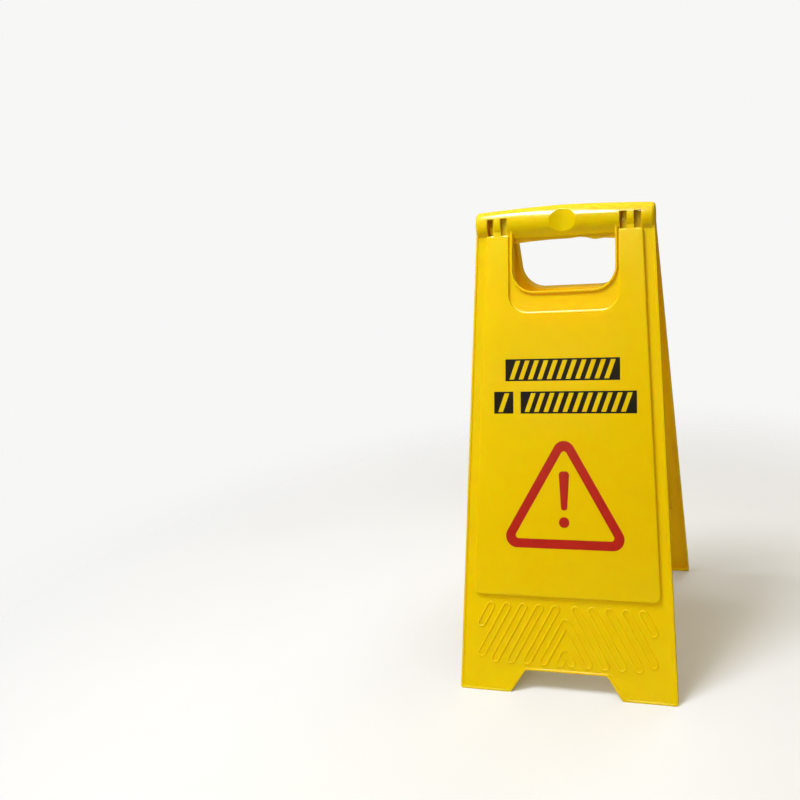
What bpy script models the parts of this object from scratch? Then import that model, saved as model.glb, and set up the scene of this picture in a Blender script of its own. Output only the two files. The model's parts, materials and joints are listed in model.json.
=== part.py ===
"""Folding wet floor sign.

Two moulded panels hang from two hinge pins just under a split carrying bar.  Each panel is one thin-walled
moulding: a tapered skin with a raised centre panel, a handle opening with a beaded lip, slanted ribs, two
feet, half of the bar, a hinge hook at one end and a pair of hinge ears at the other.  Thin printed films lie
on the raised panels.

A panel is described in its own frame, whose origin is on the hinge axis: x runs along the axis, "drop" is
the distance down the panel, and "out" is the distance outwards from the plane where the closed panels meet.
"""
import math

import bmesh
import bpy
from mathutils import Matrix, Vector

# Stance
HALF_SPREAD = math.radians(15.5)
PANEL_DROP = 0.5845
HALF_GAP = 0.0002
STOP_GAP = 0.00015

# Panel skin
AXIS_HALF_WIDTH = 0.1132
FOOT_HALF_WIDTH = 0.1376
FLANGE_OUT = 0.0082
RIM_HEIGHT = 0.0007
RIM_WIDTH = 0.0028
RIM_CHAMFER = 0.0006
WALL = 0.0024
SMALL_CORNER = 0.004
FOOT_SPARE = 0.0006

# Notch between the feet
NOTCH_DROP = 0.5558
NOTCH_TOP_HALF = 0.0518
NOTCH_FOOT_HALF = 0.0712

# Raised centre panel
RAISED_OUT = 0.0122
RAISED_INSET = 0.0143
RAISED_TOP = 0.0105
RAISED_FOOT = 0.4625
RAISED_CORNER = 0.0085
RAISED_CHAMFER = 0.0020

# Handle opening, its lip and the recess round it
OPENING_HALF = 0.0653
OPENING_TOP_END = 0.0192
OPENING_TOP_MIDDLE = 0.0162
OPENING_FOOT = 0.0824
OPENING_CORNER = 0.028
WAVE_CREST = (0.020, 0.016, 0.0012)
WAVE_DIP = (0.039, 0.012, -0.0016)
WEB_OUT = 0.0026
POCKET_MARGIN = 0.0004
LIP_WIDTH = 0.0030
LIP_OUT = 0.0118
RECESS_OUT = 0.0094
RECESS_HALF = 0.0702
RECESS_FOOT = 0.1095
RECESS_CORNER = 0.024
RECESS_CHAMFER = 0.0016

# Half of the carrying bar
BAR_HALF_LENGTH = 0.1136
BAR_HALF_HEIGHT = 0.0182
BAR_OUT = 0.0145
BAR_RISE = 0.0042
BAR_CROWN = 0.0045
BAR_END_RADIUS = 0.0045
NOTCH_RADIUS = 0.0352
NOTCH_AXIS_OUT = 0.0472
NOTCH_TILT = math.radians(5.9)

# Hinge
HINGE_X = 0.0842
TONGUE_WIDTH = 0.0086
WINDOW_WIDTH = 0.0088
WINDOW_HALF_DROP = 0.0100
EAR_OFFSET = 0.0106
EAR_WIDTH = 0.0028
EYE_RADIUS = 0.0060
PIN_RADIUS = 0.0030
BORE_RADIUS = 0.00308
HOOK_WIDTH = 0.0080
HOOK_SLOT = 0.0050
EAR_ROOT = 0.026
HOOK_BACKS = ((-0.0815, -0.0690), (-0.0917, -0.0872))
HOOK_BACK_OUT = (0.0070, 0.0084)
HOOK_BACK_DROP = (-0.0175, 0.0123)
EAR_BACKS = ((0.0745, 0.0797), (0.0888, 0.0988))
EAR_BACK_OUT = (0.0047, 0.0060)
EAR_BACK_DROP = (-0.0110, 0.0135)
PIN_HEAD_RADIUS = 0.0045
PIN_HEAD = 0.0012
PIN_OVERHANG = 0.0015

# Slanted loop-shaped ribs above the feet
RIB_HALF_WIDTH = 0.0056
RIB_THICKNESS = 0.0024
RIB_HEIGHT = 0.0012
RIB_CHAMFER = 0.0005
RIB_PITCH = 0.0210
RIB_SLANT = math.radians(29.0)
RIB_TOP = 0.4720
RIB_FOOT = 0.5495
RIB_FIRST_X = 0.0096
RIB_LIMIT_X = 0.1145
RIB_START_X = 0.0010
RIB_SPLIT = 0.0004

# Printed films
FILM_GAP = 0.0003
FILM = 0.0003
STRIPE_SLANT = math.radians(20.0)
STRIPE_PITCH = 0.0124
STRIPE_BORDER = 0.0020
STRIPE_BANDS = {
    "stripe_band_upper": (-0.0745, 0.0705, 0.1666, 0.1940),
    "stripe_band_short": (-0.0895, -0.0645, 0.2072, 0.2346),
    "stripe_band_long": (-0.0549, 0.0908, 0.2072, 0.2346),
}
TRIANGLE_TOP = 0.2685
TRIANGLE_SIDE = 0.1703
TRIANGLE_CORNER = 0.0142
TRIANGLE_STROKE = 0.0115
MARK_TOP = 0.3060
MARK_FOOT = 0.3540
MARK_TOP_HALF = 0.0068
MARK_FOOT_HALF = 0.0038
MARK_DOT_DROP = 0.3690
MARK_DOT_RADIUS = 0.0066

AXIS_HEIGHT = PANEL_DROP * math.cos(HALF_SPREAD) - FLANGE_OUT * math.sin(HALF_SPREAD)
TAPER = (FOOT_HALF_WIDTH - AXIS_HALF_WIDTH) / PANEL_DROP


def half_width(drop):
    """Half width of the panel at a distance down from the hinge axis."""
    return AXIS_HALF_WIDTH + TAPER * drop


# Scene and collections

def clear_scene():
    for thing in list(bpy.data.objects):
        bpy.data.objects.remove(thing, do_unlink=True)


def new_collection(name):
    group = bpy.data.collections.new(name)
    bpy.context.scene.collection.children.link(group)
    return group


def new_object(name, data, group):
    thing = bpy.data.objects.new(name, data)
    group.objects.link(thing)
    return thing


def as_cutter(thing):
    thing.hide_render = True
    thing.display_type = 'WIRE'
    return thing


def plastic(name, colour, roughness):
    """A non-metallic Principled material."""
    material = bpy.data.materials.new(name)
    material.use_nodes = True
    shader = material.node_tree.nodes["Principled BSDF"]
    shader.inputs["Base Color"].default_value = (*colour, 1.0)
    shader.inputs["Roughness"].default_value = roughness
    shader.inputs["Metallic"].default_value = 0.0
    return material


# Outlines: lists of (x, drop) points, with round corners as arcs

def arc(centre, radius, start, end, steps):
    points = []
    for step in range(steps + 1):
        angle = start + (end - start) * step / steps
        points.append((centre[0] + radius * math.cos(angle), centre[1] + radius * math.sin(angle)))
    return points


def rounded(corners, steps=5):
    """Outline through (x, drop, radius) corners, each one rounded by an arc."""
    outline = []
    count = len(corners)
    for index, (x, drop, radius) in enumerate(corners):
        corner = Vector((x, drop))
        back = Vector(corners[index - 1][:2]) - corner
        ahead = Vector(corners[(index + 1) % count][:2]) - corner
        if radius == 0.0:
            outline.append(tuple(corner))
            continue
        back.normalize()
        ahead.normalize()
        half = back.angle(ahead) / 2
        middle = (back + ahead).normalized()
        centre = corner + middle * (radius / math.sin(half))
        first = corner + back * (radius / math.tan(half)) - centre
        last = corner + ahead * (radius / math.tan(half)) - centre
        start = math.atan2(first.y, first.x)
        sweep = math.atan2(last.y, last.x) - start
        sweep = (sweep + math.pi) % (2 * math.pi) - math.pi
        outline += arc(centre, radius, start, start + sweep, steps)
    return outline


def panel_outline(inset, foot=None):
    """The tapered panel with its feet, drawn in by an inset."""
    radius = SMALL_CORNER
    if foot is None:
        foot = PANEL_DROP + FOOT_SPARE - inset
    right = [
        (half_width(0.0) - inset, inset, 0.0),
        (half_width(foot) - inset, foot, radius),
        (NOTCH_FOOT_HALF + inset * 1.7, foot, radius),
        (NOTCH_TOP_HALF + inset * 0.4, NOTCH_DROP - inset, radius),
    ]
    left = [(-x, drop, round_off) for x, drop, round_off in reversed(right)]
    return rounded(right + left, 4)


def raised_outline(inset):
    """The raised centre panel, parallel to the panel's long edges."""
    top = RAISED_TOP + inset
    foot = RAISED_FOOT - inset
    side = RAISED_INSET + inset
    right = [
        (half_width(top) - side, top, 0.003),
        (half_width(foot) - side, foot, RAISED_CORNER - inset),
    ]
    left = [(-x, drop, radius) for x, drop, radius in reversed(right)]
    return rounded(right + left, 6)


def edge_wave(x):
    """How far the opening's top edge rises or sinks: a long crest beside a short dip."""
    offset = 0.0
    for centre, half_length, height in (WAVE_CREST, WAVE_DIP):
        if abs(x - centre) < half_length:
            offset += height * (1 + math.cos(math.pi * (x - centre) / half_length)) / 2
    return offset


def opening_outline(wave_side):
    """The handle opening: an arched top edge and two large foot corners."""
    half = OPENING_HALF
    foot = OPENING_FOOT
    radius = OPENING_CORNER
    outline = []
    steps = 26
    for step in range(steps + 1):
        x = half * (2 * step / steps - 1)
        arch = OPENING_TOP_MIDDLE + (OPENING_TOP_END - OPENING_TOP_MIDDLE) * (x / half) ** 2
        outline.append((x, arch - edge_wave(x * wave_side)))
    outline += arc((half - radius, foot - radius), radius, 0.0, math.pi / 2, 8)
    outline += arc((radius - half, foot - radius), radius, math.pi / 2, math.pi, 8)
    return outline


def u_outline(grow, top, half=OPENING_HALF, foot=OPENING_FOOT, radius=OPENING_CORNER):
    """The U round the handle opening, grown outwards, with a straight top edge."""
    half += grow
    foot += grow
    radius += grow
    return rounded([(half, top, 0.0), (half, foot, radius), (-half, foot, radius), (-half, top, 0.0)], 8)


def capsule(top, foot, radius):
    """A round-ended slot between two points."""
    along = math.atan2(foot[1] - top[1], foot[0] - top[0])
    quarter = math.pi / 2
    outline = arc(foot, radius, along - quarter, along + quarter, 6)
    outline += arc(top, radius, along + quarter, along + 3 * quarter, 6)
    return outline


def rounded_triangle(inset):
    """An equilateral triangle that stands on its base."""
    side = TRIANGLE_SIDE - inset * 2 * math.sqrt(3)
    height = side * math.sqrt(3) / 2
    radius = TRIANGLE_CORNER - min(inset, TRIANGLE_CORNER - 0.004)
    base = TRIANGLE_TOP - TRIANGLE_CORNER + TRIANGLE_SIDE * math.sqrt(3) / 2 - inset
    return rounded([(0.0, base - height, radius), (side / 2, base, radius), (-side / 2, base, radius)], 8)


# Solids

def to_mesh(curve_object, group):
    """Replace a curve object by a closed mesh object."""
    depsgraph = bpy.context.evaluated_depsgraph_get()
    mesh = bpy.data.meshes.new_from_object(curve_object.evaluated_get(depsgraph))
    mesh.transform(curve_object.matrix_basis)
    name = curve_object.name
    bpy.data.objects.remove(curve_object, do_unlink=True)
    shape = bmesh.new()
    shape.from_mesh(mesh)
    bmesh.ops.remove_doubles(shape, verts=shape.verts, dist=0.00001)
    bmesh.ops.dissolve_limit(shape, angle_limit=0.002, verts=shape.verts, edges=shape.edges)
    bmesh.ops.recalc_face_normals(shape, faces=shape.faces)
    shape.to_mesh(mesh)
    shape.free()
    return new_object(name, mesh, group)


def plate(name, outlines, out_from, out_to, group, chamfer=0.0):
    """A flat solid between two distances out from the closing plane, from an outline and its holes."""
    curve = bpy.data.curves.new(name, 'CURVE')
    curve.dimensions = '2D'
    curve.fill_mode = 'BOTH'
    curve.extrude = (out_to - out_from) / 2 - chamfer
    curve.bevel_depth = chamfer
    curve.bevel_resolution = 0
    curve.offset = -chamfer
    for outline in outlines:
        spline = curve.splines.new('POLY')
        spline.points.add(len(outline) - 1)
        for point, (x, drop) in zip(spline.points, outline):
            point.co = (x, -drop, 0.0, 1.0)
        spline.use_cyclic_u = True
    thing = new_object(name, curve, group)
    middle = Vector((0.0, -(out_from + out_to) / 2, 0.0))
    thing.matrix_basis = Matrix.Translation(middle) @ Matrix.Rotation(math.pi / 2, 4, 'X')
    return to_mesh(thing, group)


def box(name, x_range, out_range, drop_range, group):
    """A cuboid in the panel's frame."""
    shape = bmesh.new()
    bmesh.ops.create_cube(shape, size=1.0)
    size = Vector((x_range[1] - x_range[0], out_range[1] - out_range[0], drop_range[1] - drop_range[0]))
    centre = Vector((sum(x_range) / 2, -sum(out_range) / 2, -sum(drop_range) / 2))
    bmesh.ops.scale(shape, vec=size, verts=shape.verts)
    bmesh.ops.translate(shape, vec=centre, verts=shape.verts)
    mesh = bpy.data.meshes.new(name)
    shape.to_mesh(mesh)
    shape.free()
    return new_object(name, mesh, group)


def cylinder_along_x(name, x_range, radius, group, segments=24):
    """A cylinder on the hinge axis."""
    shape = bmesh.new()
    bmesh.ops.create_cone(
        shape, cap_ends=True, segments=segments, radius1=radius, radius2=radius,
        depth=x_range[1] - x_range[0])
    turn = Matrix.Translation((sum(x_range) / 2, 0.0, 0.0)) @ Matrix.Rotation(math.pi / 2, 4, 'Y')
    bmesh.ops.transform(shape, matrix=turn, verts=shape.verts)
    mesh = bpy.data.meshes.new(name)
    shape.to_mesh(mesh)
    shape.free()
    return new_object(name, mesh, group)


def boolean(target, tool, operation):
    modifier = target.modifiers.new(tool.name, 'BOOLEAN')
    modifier.operation = operation
    modifier.solver = 'EXACT'
    modifier.object = tool
    as_cutter(tool)


def joined(name, things, group):
    """One object that holds several separate solids."""
    shape = bmesh.new()
    for thing in things:
        shape.from_mesh(thing.data)
        bpy.data.objects.remove(thing, do_unlink=True)
    mesh = bpy.data.meshes.new(name)
    shape.to_mesh(mesh)
    shape.free()
    return new_object(name, mesh, group)


# The moulding's features

def bar_rod(name, shrink, end_radius, group):
    """The oval bar, bowed upwards at the middle, at full section."""
    half_length = BAR_HALF_LENGTH - shrink
    curve = bpy.data.curves.new(name, 'CURVE')
    curve.dimensions = '3D'
    curve.bevel_depth = BAR_HALF_HEIGHT - shrink
    curve.bevel_resolution = 10
    curve.use_fill_caps = True
    steps = 18
    spline = curve.splines.new('POLY')
    spline.points.add(steps)
    for step in range(steps + 1):
        x = half_length * (2 * step / steps - 1)
        swell = BAR_CROWN / 2 * (1 - (abs(x) / BAR_HALF_LENGTH) ** 1.5)
        spline.points[step].co = (x, 0.0, BAR_RISE + swell, 1.0)
        spline.points[step].radius = 1 + swell / BAR_HALF_HEIGHT
    thing = new_object(name, curve, group)
    flatten = (BAR_OUT - shrink) / (BAR_HALF_HEIGHT - shrink)
    thing.matrix_basis = Matrix.Diagonal((1.0, flatten, 1.0, 1.0))
    rod = to_mesh(thing, group)
    if end_radius > 0.0:
        bevel = rod.modifiers.new("round_ends", 'BEVEL')
        bevel.width = end_radius
        bevel.segments = 3
        bevel.limit_method = 'ANGLE'
        bevel.angle_limit = math.radians(60)
    return rod


def finger_notch(name, radius, group):
    """An upright cylinder in front of the bar that hollows its middle."""
    shape = bmesh.new()
    bmesh.ops.create_cone(
        shape, cap_ends=True, segments=96, radius1=radius, radius2=radius, depth=0.1)
    half_segment = Matrix.Rotation(math.pi / 96, 4, 'Z')
    bmesh.ops.transform(shape, matrix=half_segment, verts=shape.verts)
    lean = Matrix.Translation((0.0, -NOTCH_AXIS_OUT, BAR_RISE)) @ Matrix.Rotation(NOTCH_TILT, 4, 'X')
    bmesh.ops.transform(shape, matrix=lean, verts=shape.verts)
    mesh = bpy.data.meshes.new(name)
    shape.to_mesh(mesh)
    shape.free()
    return new_object(name, mesh, group)


def rib_centre_lines():
    """Ends of the slanted ribs' centre lines on the right half."""
    lines = []
    inset = RIB_HALF_WIDTH
    tangent = math.tan(RIB_SLANT)
    for index in range(-2, 5):
        x_at_top = RIB_FIRST_X + RIB_PITCH * index
        enters = RIB_TOP + (RIB_START_X - x_at_top) / tangent
        leaves = RIB_TOP + (RIB_LIMIT_X - inset - x_at_top) / tangent
        first = max(RIB_TOP + inset, enters)
        last = min(RIB_FOOT - inset, leaves)
        top = (x_at_top + (first - RIB_TOP) * tangent, first)
        foot = (x_at_top + (last - RIB_TOP) * tangent, last)
        lines.append((top, foot))
    return lines


def slanted_ribs(side, group):
    """The loop-shaped ribs of one half of a panel, cut off just short of the panel's centre line."""
    ribs = []
    for (x_top, top), (x_foot, foot) in rib_centre_lines():
        ends = (side * x_top, top), (side * x_foot, foot)
        loop = [capsule(*ends, RIB_HALF_WIDTH), capsule(*ends, RIB_HALF_WIDTH - RIB_THICKNESS)]
        name = f"rib_{side}_{len(ribs)}"
        out_range = FLANGE_OUT - 0.0016, FLANGE_OUT + RIB_HEIGHT
        ribs.append(plate(name, loop, *out_range, group, RIB_CHAMFER))
    ribs = joined(f"ribs_{side}", ribs, group)
    beyond = sorted((side * RIB_SPLIT, -side * 0.05))
    cut = box(f"rib_split_{side}", beyond, (-0.01, 0.03), (RIB_TOP - 0.03, RIB_FOOT + 0.03), group)
    boolean(ribs, cut, 'DIFFERENCE')
    return ribs


def window_blocks(group):
    """The four hinge windows beside the two tongues."""
    blocks = []
    for side in (-1, 1):
        for direction in (-1, 1):
            near = HINGE_X + direction * TONGUE_WIDTH / 2
            far = HINGE_X + direction * (TONGUE_WIDTH / 2 + WINDOW_WIDTH)
            x_range = sorted((side * near, side * far))
            drop_range = (-WINDOW_HALF_DROP, WINDOW_HALF_DROP)
            name = f"window_{len(blocks)}"
            blocks.append(box(name, x_range, (BORE_RADIUS, 0.03), drop_range, group))
    return joined("windows", blocks, group)


def hinge_hook(group):
    """The C-shaped hook behind the left tongue, open towards the closing plane."""
    x_range = (-HINGE_X - HOOK_WIDTH / 2, -HINGE_X + HOOK_WIDTH / 2)
    past = (x_range[0] - 0.001, x_range[1] + 0.001)
    hook = cylinder_along_x("hook", x_range, EYE_RADIUS, group)
    boolean(hook, box("hook_web", x_range, (0.0040, 0.0118), (-0.0040, 0.0045), group), 'UNION')
    boolean(hook, cylinder_along_x("hook_bore", past, BORE_RADIUS, group), 'DIFFERENCE')
    slot = box("hook_slot", past, (-0.01, 0.0), (-HOOK_SLOT / 2, HOOK_SLOT / 2), group)
    boolean(hook, slot, 'DIFFERENCE')
    return hook


def hinge_ear(name, x, group):
    """One eye plate with its stem and its root in the post."""
    x_range = (x - EAR_WIDTH / 2, x + EAR_WIDTH / 2)
    past = (x_range[0] - 0.001, x_range[1] + 0.001)
    ear = cylinder_along_x(name, x_range, EYE_RADIUS, group)
    stem = box(name + "_stem", x_range, (0.0006, 0.0056), (0.0012, EAR_ROOT), group)
    root = box(name + "_root", x_range, (0.0010, 0.0100), (0.0125, EAR_ROOT + 0.0008), group)
    boolean(ear, stem, 'UNION')
    boolean(ear, root, 'UNION')
    boolean(ear, cylinder_along_x(name + "_bore", past, BORE_RADIUS, group), 'DIFFERENCE')
    return ear


def build_moulding(name, wave_side, group):
    """One panel moulding in its own frame, as an evaluated mesh."""
    skin = plate(name, [panel_outline(0.0)], -0.002, FLANGE_OUT + RIM_HEIGHT, group, RIM_CHAMFER)

    # Outer shape
    sunk = plate("rim_pocket", [panel_outline(RIM_WIDTH)], FLANGE_OUT, 0.03, group, RIM_CHAMFER)
    boolean(skin, sunk, 'DIFFERENCE')
    raised = plate("raised", [raised_outline(0.0)], 0.004, RAISED_OUT, group, RAISED_CHAMFER)
    recess = u_outline(0.0, -0.02, RECESS_HALF, RECESS_FOOT, RECESS_CORNER)
    boolean(raised, plate("recess", [recess], RECESS_OUT, 0.03, group, RECESS_CHAMFER), 'DIFFERENCE')
    boolean(skin, raised, 'UNION')
    lip = plate("lip", [u_outline(LIP_WIDTH, 0.004)], 0.0045, LIP_OUT, group, 0.0008)
    boolean(skin, lip, 'UNION')
    pocket_half = OPENING_HALF - POCKET_MARGIN
    pocket = box("grip_pocket", (-pocket_half, pocket_half), (WEB_OUT, 0.03), (-0.01, 0.026), group)
    boolean(skin, pocket, 'DIFFERENCE')
    for side in (-1, 1):
        boolean(skin, slanted_ribs(side, group), 'UNION')
    bar = bar_rod("bar", 0.0, BAR_END_RADIUS, group)
    boolean(bar, finger_notch("finger_notch", NOTCH_RADIUS, group), 'DIFFERENCE')
    boolean(skin, bar, 'UNION')
    half_tongue = TONGUE_WIDTH / 2 + 0.001
    for side in (-1, 1):
        x_range = (side * HINGE_X - half_tongue, side * HINGE_X + half_tongue)
        tongue = box(f"tongue_{side}", x_range, (0.0065, RAISED_OUT - 0.0001), (-0.003, 0.015), group)
        boolean(skin, tongue, 'UNION')

    # Hollow inside
    frame_wall = plate("frame_wall", [u_outline(WALL, 0.008)], -0.02, 0.03, group)
    foot_floor = AXIS_HEIGHT / math.cos(HALF_SPREAD) - WALL
    cavity = plate("cavity", [panel_outline(WALL, foot_floor)], -0.001, FLANGE_OUT - WALL, group)
    boolean(cavity, frame_wall, 'DIFFERENCE')
    boolean(skin, cavity, 'DIFFERENCE')
    deep = plate("deep_cavity", [raised_outline(WALL)], -0.0005, RAISED_OUT - WALL, group)
    recess_back = u_outline(WALL, -0.02, RECESS_HALF, RECESS_FOOT, RECESS_CORNER)
    boolean(deep, plate("recess_back", [recess_back], -0.02, 0.03, group), 'DIFFERENCE')
    boolean(skin, deep, 'DIFFERENCE')
    bore = bar_rod("bar_bore", WALL, 0.0, group)
    boolean(bore, finger_notch("notch_back", NOTCH_RADIUS + WALL, group), 'DIFFERENCE')
    boolean(skin, bore, 'DIFFERENCE')

    # Openings through the skin
    handle_hole = plate("handle_hole", [opening_outline(wave_side)], -0.02, 0.03, group)
    boolean(skin, handle_hole, 'DIFFERENCE')
    boolean(skin, window_blocks(group), 'DIFFERENCE')
    for x_range in HOOK_BACKS:
        back = box(f"hook_back_{len(group.objects)}", x_range, HOOK_BACK_OUT, HOOK_BACK_DROP, group)
        boolean(skin, back, 'UNION')

    # Mating faces: flat below the axis, drawn back above it so that the two bars butt when open
    wide = (-0.2, 0.2)
    boolean(skin, box("closing_plane", wide, (-0.05, HALF_GAP), (-0.05, 0.7), group), 'DIFFERENCE')
    stop = box("stop_plane", wide, (-0.05, STOP_GAP), (-0.06, 0.0), group)
    stop.data.transform(Matrix.Rotation(HALF_SPREAD, 4, 'X'))
    boolean(skin, stop, 'DIFFERENCE')

    # Hinge parts reach past the mating faces
    boolean(skin, hinge_hook(group), 'UNION')
    for direction in (-1, 1):
        ear = hinge_ear(f"ear_{direction}", HINGE_X + direction * EAR_OFFSET, group)
        boolean(skin, ear, 'UNION')
    for x_range in EAR_BACKS:
        back = box(f"ear_back_{len(group.objects)}", x_range, EAR_BACK_OUT, EAR_BACK_DROP, group)
        boolean(skin, back, 'UNION')

    # Feet cut level with the floor
    floor = box("floor", wide, (-0.3, 0.3), (AXIS_HEIGHT, AXIS_HEIGHT + 0.1), group)
    floor.data.transform(Matrix.Rotation(HALF_SPREAD, 4, 'X'))
    boolean(skin, floor, 'DIFFERENCE')

    depsgraph = bpy.context.evaluated_depsgraph_get()
    mesh = bpy.data.meshes.new_from_object(skin.evaluated_get(depsgraph))
    mesh.name = name
    for tool in list(group.objects):
        bpy.data.objects.remove(tool, do_unlink=True)
    return mesh


def build_pin(name, group, material):
    """A headed hinge pin on the axis, turned from its profile."""
    tip = -EAR_OFFSET - EAR_WIDTH / 2 - PIN_OVERHANG
    shoulder = EAR_OFFSET + EAR_WIDTH / 2 + 0.0003
    end = shoulder + PIN_HEAD
    profile = [
        (0.0, tip), (PIN_RADIUS - 0.0008, tip), (PIN_RADIUS, tip + 0.0008), (PIN_RADIUS, shoulder),
        (PIN_HEAD_RADIUS, shoulder), (PIN_HEAD_RADIUS, end), (0.0, end)]
    shape = bmesh.new()
    points = [shape.verts.new((radius, 0.0, along)) for radius, along in profile]
    for first, second in zip(points, points[1:]):
        shape.edges.new((first, second))
    mesh = bpy.data.meshes.new(name)
    shape.to_mesh(mesh)
    shape.free()
    mesh.materials.append(material)
    pin = new_object(name, mesh, group)
    screw = pin.modifiers.new("turn", 'SCREW')
    screw.steps = 24
    screw.render_steps = 24
    screw.use_merge_vertices = True
    screw.merge_threshold = 0.00001
    screw.use_normal_calculate = True
    screw.use_normal_flip = True
    pin.matrix_basis = Matrix.Translation((HINGE_X, 0.0, 0.0)) @ Matrix.Rotation(math.pi / 2, 4, 'Y')
    return pin


def stripe_band(name, x_from, x_to, top, foot, group):
    """A band of slanted stripes between two border lines, as one pierced film."""
    lean = (foot - top - 2 * STRIPE_BORDER) * math.tan(STRIPE_SLANT)
    outlines = [[(x_from, top), (x_to, top), (x_to, foot), (x_from, foot)]]
    free = x_to - x_from - 2 * STRIPE_BORDER - lean
    count = max(1, round(free / STRIPE_PITCH))
    pitch = free / count
    bare = pitch * 0.5
    for index in range(count):
        left = x_from + STRIPE_BORDER + pitch * index + bare / 2
        outlines.append([
            (left + lean, top + STRIPE_BORDER), (left + lean + bare, top + STRIPE_BORDER),
            (left + bare, foot - STRIPE_BORDER), (left, foot - STRIPE_BORDER)])
    return film(name, outlines, group)


def film(name, outlines, group):
    near = RAISED_OUT + FILM_GAP
    return plate(name, outlines, near, near + FILM, group)


def build_films(prefix, group, black, red):
    """The printed graphics of one panel."""
    films = []
    for label, (x_from, x_to, top, foot) in STRIPE_BANDS.items():
        thing = stripe_band(f"{prefix}_{label}", x_from, x_to, top, foot, group)
        thing.data.materials.append(black)
        films.append(thing)
    ring = film(f"{prefix}_warning_triangle", [rounded_triangle(0.0), rounded_triangle(TRIANGLE_STROKE)], group)
    bar = film(f"{prefix}_warning_mark_bar", [rounded([
        (MARK_TOP_HALF, MARK_TOP, 0.0045), (MARK_FOOT_HALF, MARK_FOOT, 0.003),
        (-MARK_FOOT_HALF, MARK_FOOT, 0.003), (-MARK_TOP_HALF, MARK_TOP, 0.0045)], 5)], group)
    dot = film(f"{prefix}_warning_mark_dot", [arc((0.0, MARK_DOT_DROP), MARK_DOT_RADIUS, 0.0, 1.9 * math.pi, 19)],
               group)
    for thing in (ring, bar, dot):
        thing.data.materials.append(red)
        films.append(thing)
    return films


def main():
    clear_scene()
    sign = new_collection("wet_floor_sign")
    cutters = new_collection("cutters")
    yellow = plastic("yellow_plastic", (0.72, 0.46, 0.005), 0.28)
    pin_yellow = plastic("pin_plastic", (0.66, 0.38, 0.005), 0.35)
    black = plastic("black_print", (0.008, 0.008, 0.008), 0.4)
    red = plastic("red_print", (0.45, 0.012, 0.008), 0.4)

    for prefix, facing, wave_side, pin_name in (
            ("front", 0.0, 1, "hinge_pin_right"), ("back", math.pi, -1, "hinge_pin_left")):
        frame = new_object(f"{prefix}_frame", None, sign)
        turn = Matrix.Rotation(facing, 4, 'Z') @ Matrix.Rotation(-HALF_SPREAD, 4, 'X')
        frame.matrix_basis = Matrix.Translation((0.0, 0.0, AXIS_HEIGHT)) @ turn
        moulding = build_moulding(f"{prefix}_panel", wave_side, cutters)
        moulding.materials.clear()
        moulding.materials.append(yellow)
        moulding.shade_smooth()
        moulding.set_sharp_from_angle(angle=math.radians(35))
        pieces = [new_object(f"{prefix}_panel", moulding, sign), build_pin(pin_name, sign, pin_yellow)]
        pieces += build_films(prefix, sign, black, red)
        for piece in pieces:
            piece.parent = frame


main()
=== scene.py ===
import json
import math

import bmesh
import bpy
from mathutils import Matrix, Vector

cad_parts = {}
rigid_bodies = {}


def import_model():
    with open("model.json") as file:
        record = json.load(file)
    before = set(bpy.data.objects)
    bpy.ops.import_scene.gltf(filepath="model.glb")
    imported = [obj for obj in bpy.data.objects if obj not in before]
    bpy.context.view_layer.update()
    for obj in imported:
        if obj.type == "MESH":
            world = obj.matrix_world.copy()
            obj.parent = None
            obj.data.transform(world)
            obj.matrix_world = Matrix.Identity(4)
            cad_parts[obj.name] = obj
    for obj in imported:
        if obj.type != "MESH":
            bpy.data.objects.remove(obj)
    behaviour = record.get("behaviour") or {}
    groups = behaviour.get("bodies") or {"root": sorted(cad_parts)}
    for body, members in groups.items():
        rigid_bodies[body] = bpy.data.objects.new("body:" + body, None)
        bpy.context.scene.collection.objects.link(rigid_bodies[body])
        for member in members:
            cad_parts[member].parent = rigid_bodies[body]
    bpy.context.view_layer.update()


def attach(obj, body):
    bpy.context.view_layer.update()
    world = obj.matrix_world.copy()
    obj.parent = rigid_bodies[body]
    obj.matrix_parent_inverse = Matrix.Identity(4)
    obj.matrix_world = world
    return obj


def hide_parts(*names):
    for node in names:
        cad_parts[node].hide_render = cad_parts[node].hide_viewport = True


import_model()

# Stance
HALF_SPREAD = math.radians(15.5)
PANEL_DROP = 0.5845
HALF_GAP = 0.0002
STOP_GAP = 0.00015

# Panel skin
AXIS_HALF_WIDTH = 0.1132
FOOT_HALF_WIDTH = 0.1376
FLANGE_OUT = 0.0082
RIM_HEIGHT = 0.0007
RIM_WIDTH = 0.0026
RIM_ROUND = 0.0007
WALL = 0.0024
SMALL_CORNER = 0.004
FOOT_SPARE = 0.0006

# Notch between the feet
NOTCH_DROP = 0.5558
NOTCH_TOP_HALF = 0.0518
NOTCH_FOOT_HALF = 0.0712

# Raised centre panel
RAISED_OUT = 0.0122
RAISED_INSET = 0.0143
RAISED_TOP = 0.0105
RAISED_FOOT = 0.4625
RAISED_CORNER = 0.0085
RAISED_ROUND = 0.0020

# Handle opening, its lip and the recess round it
OPENING_HALF = 0.0653
OPENING_TOP_END = 0.0192
OPENING_TOP_MIDDLE = 0.0162
OPENING_FOOT = 0.0824
OPENING_CORNER = 0.028
WAVE_CREST = (0.020, 0.016, 0.0012)
WAVE_DIP = (0.039, 0.012, -0.0016)
WEB_OUT = 0.0026
POCKET_MARGIN = 0.0004
LIP_WIDTH = 0.0030
LIP_OUT = 0.0121
LIP_ROUND = 0.0014
RECESS_OUT = 0.0094
RECESS_HALF = 0.0702
RECESS_FOOT = 0.1095
RECESS_CORNER = 0.024
RECESS_ROUND = 0.0022

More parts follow.
